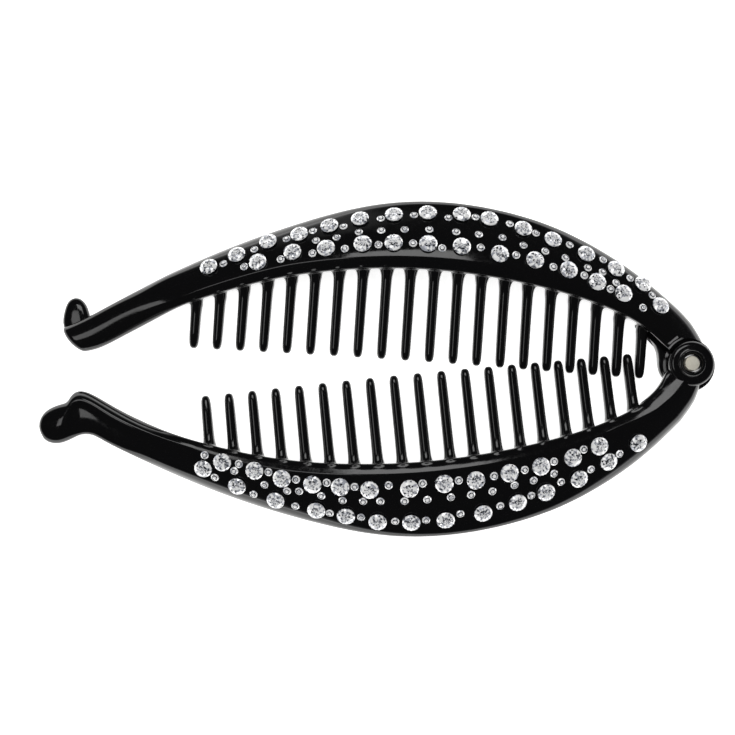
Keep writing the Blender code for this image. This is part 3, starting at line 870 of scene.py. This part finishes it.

# The small stones
# Round stones of foiled cut glass, 1.9 mm across, glued on by hand in three loose rows along each
# band, with painted reflections: a bright rim, a dark ring and a bright table.

# For each stone its distance from the hinge along the arm and its place across the band (0 is the
# inner edge, 1 the outer)
SMALL_STONES = {
    "upper": [(104.6, 0.68), (99.8, 0.44), (98.0, 0.76), (91.8, 0.38), (91.0, 0.77),
              (85.3, 0.79), (84.9, 0.36), (84.4, 0.59), (79.9, 0.57), (78.6, 0.74), (77.9, 0.35),
              (75.1, 0.60), (70.6, 0.36), (70.5, 0.78), (70.2, 0.58), (65.1, 0.58), (63.2, 0.81),
              (63.1, 0.37), (59.7, 0.58), (56.7, 0.32), (55.6, 0.79), (53.8, 0.58), (49.6, 0.85),
              (48.8, 0.59), (48.3, 0.40), (43.5, 0.61), (41.9, 0.85), (40.4, 0.39), (38.8, 0.57),
              (36.0, 0.82), (33.9, 0.57), (32.0, 0.37), (29.3, 0.59), (28.3, 0.84), (25.0, 0.42),
              (24.2, 0.58), (20.8, 0.64), (20.6, 0.87), (19.0, 0.39), (17.7, 0.57), (14.4, 0.83),
              (11.5, 0.40), (9.3, 0.81)],
    "lower": [(108.4, 0.27), (106.8, 0.71), (102.3, 0.43), (101.1, 0.25), (98.7, 0.80),
              (96.0, 0.55), (94.8, 0.28), (91.2, 0.57), (89.8, 0.81), (89.0, 0.33), (88.6, 0.53),
              (83.9, 0.54), (82.5, 0.80), (82.4, 0.31), (79.4, 0.56), (76.5, 0.33), (75.8, 0.78),
              (75.0, 0.54), (71.3, 0.52), (69.2, 0.29), (68.5, 0.79), (66.1, 0.51), (61.9, 0.28),
              (61.8, 0.78), (61.2, 0.50), (56.1, 0.50), (54.3, 0.74), (54.1, 0.29), (51.7, 0.50),
              (47.0, 0.51), (46.4, 0.31), (45.5, 0.73), (42.1, 0.49), (39.6, 0.32), (38.5, 0.70),
              (37.8, 0.50), (33.2, 0.49), (33.0, 0.32), (31.7, 0.65), (26.2, 0.30), (24.8, 0.66),
              (18.1, 0.67)],
}
# A low cone of a rim, a narrow groove and a raised table in it, in the steps of the large stones
SMALL_FACETS = 12
SMALL_FOOT = -0.3
SMALL_FOOT_RADIUS = 0.85
SMALL_STEPS = [(0.4, 1.06), (0.22, 0.69), (0.0, 0.8), (0.07, 0.8), (0.04, 0.6)]


def band_place(along, across):
    """Plan position at this share across the band, where it lies this far along the arm."""
    line = []
    for row in RIBS:
        line.append((row[0] + (row[2] - row[0]) * across, row[1] + (row[3] - row[1]) * across))
    for (near_x, near_y), (far_x, far_y) in zip(line, line[1:]):
        if near_x <= -along <= far_x:
            share = (-along - near_x) / (far_x - near_x)
            return -along, near_y + (far_y - near_y) * share
    return line[-1]


# The share of facets painted dimmer, where the painted dark ring of reflection is and how much of it is
# painted bright, and how high the rim's own side goes
DIMMER_REFLECTION_SHARE = 0.2
GROOVE_INNER = 0.38
GROOVE_OUTER = 0.6
BRIGHT_GROOVE_SHARE = 0.25
SMALL_RIM_TOP = 0.05


def paint_small_stone_reflections(stone):
    """Paints the reflections as facet tones: bright rim, dark ring and bright table, with a few facets
    tossed the other way.
    """
    tones = stone.data.attributes.new("facet_reflection_tone", "FLOAT", "FACE")
    for face in facets_in_order(stone):
        away = math.hypot(face.center.x, face.center.y)
        value = 1.0 if draw.random() > DIMMER_REFLECTION_SHARE else 0.55
        if GROOVE_INNER < away < GROOVE_OUTER:
            value = 0.0 if draw.random() > BRIGHT_GROOVE_SHARE else 0.5
        if face.center.z < SMALL_RIM_TOP:
            value = 0.4
        tones.data[face.index].value = value


small_pattern = cut_stone(SMALL_FACETS, SMALL_FOOT_RADIUS, SMALL_FOOT, SMALL_STEPS)
for arm, places in SMALL_STONES.items():
    copies = []
    for along, across in places:
        x, y = band_place(along, across)
        point, up = seat(arm, x, SIDES[arm] * y)
        stone = copy_of(small_pattern, "small_stone")
        # Paints the stone's reflections into its facets
        paint_small_stone_reflections(stone)
        set_stone(stone, point, up, draw.uniform(0, 2 * math.pi))
        copies.append(stone)
    joined = copies[0]
    join_to(joined, copies[1:])
    joined.name = arm + "_small_stones"
    to_place(joined, arm)
    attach(joined, arm)
bpy.data.objects.remove(small_pattern)

# The studio
# A white table in a light tent with bright low sides and a dim upper part. Two soft windows above
# draw the light strips along the bands, and a broad fill, without a reflection, lights the table.

# Matt white card with a slight glow, so that the ground stays as pale and even as a light table
bpy.ops.mesh.primitive_plane_add(size=1.2)
table_top = bpy.context.object
table_top.name = "table_top"
white_card, shader = new_material("white_card")
shader.inputs["Base Color"].default_value = node_colour("#F4F4F2")
shader.inputs["Roughness"].default_value = 0.9
shader.inputs["Emission Color"].default_value = node_colour("#FFFFFF")
shader.inputs["Emission Strength"].default_value = 0.8
table_top.data.materials.append(white_card)

tent = bpy.data.worlds.new("light_tent")
bpy.context.scene.world = tent
tent.use_nodes = True
background = tent.node_tree.nodes["Background"]
direction = add_node(tent, "ShaderNodeTexCoord", {}).outputs["Generated"]
parts = add_node(tent, "ShaderNodeSeparateXYZ", {"Vector": direction})
height = add_node(tent, "ShaderNodeValToRGB", {"Fac": parts.outputs["Z"]})
# How bright the tent is at each height, from its foot up
TENT_BRIGHTNESS = [(0.0, 1.0), (0.06, 0.7), (0.15, 0.16), (0.28, 0.012)]
stops = height.color_ramp.elements
for position, _ in TENT_BRIGHTNESS[1:-1]:
    stops.new(position)
for stop, (position, brightness) in zip(stops, TENT_BRIGHTNESS):
    stop.position = position
    stop.color = (brightness, brightness, brightness, 1.0)
# Beyond the table the camera sees an even grey in place of the tent
seen = add_node(tent, "ShaderNodeLightPath", {})
backdrop = add_node(
    tent, "ShaderNodeMix",
    {"Factor": seen.outputs["Is Camera Ray"], "A": height.outputs["Color"], "B": (0.3, 0.3, 0.3, 1.0)},
    data_type="RGBA",
)
tent.node_tree.links.new(backdrop.outputs["Result"], background.inputs["Color"])
background.inputs["Strength"].default_value = 3.2


def soft_light(name, x, y, z, size, power):
    """A lamp with a soft rectangular window of this size, in metres and watts, that faces down."""
    light = bpy.data.lights.new(name, "AREA")
    light.shape = "RECTANGLE"
    light.size, light.size_y = size
    light.energy = power
    made = bpy.data.objects.new(name, light)
    bpy.context.scene.collection.objects.link(made)
    made.location = (x, y, z)
    return made


soft_light("back_window", 0.01, 0.30, 0.62, (0.32, 0.22), 0.62)
soft_light("side_window", -0.205, 0.04, 0.62, (0.15, 0.2), 0.16)
fill = soft_light("overhead_fill", 0, 0, 0.9, (1.0, 1.0), 8.0)
fill.visible_glossy = False

# The camera
# It looks almost straight down, from 5 degrees toward the lower arm, in the photo's framing.

CAMERA_TARGET = Vector((-0.00193, 0.0002, 0.007))
CAMERA_DISTANCE = 0.31
CAMERA_TILT = math.radians(5)
CAMERA_TURN = math.radians(-0.9)
camera = bpy.data.objects.new("camera", bpy.data.cameras.new("camera"))
bpy.context.scene.collection.objects.link(camera)
camera.data.sensor_width = 36.0
camera.data.lens = 69.1
camera.data.clip_start = 0.01
camera.rotation_euler = (CAMERA_TILT, 0.0, CAMERA_TURN)
camera.location = CAMERA_TARGET + Vector((
    math.sin(CAMERA_TURN) * math.sin(CAMERA_TILT), -math.cos(CAMERA_TURN) * math.sin(CAMERA_TILT),
    math.cos(CAMERA_TILT),
)) * CAMERA_DISTANCE
bpy.context.scene.camera = camera
bpy.context.scene.view_settings.view_transform = "Standard"
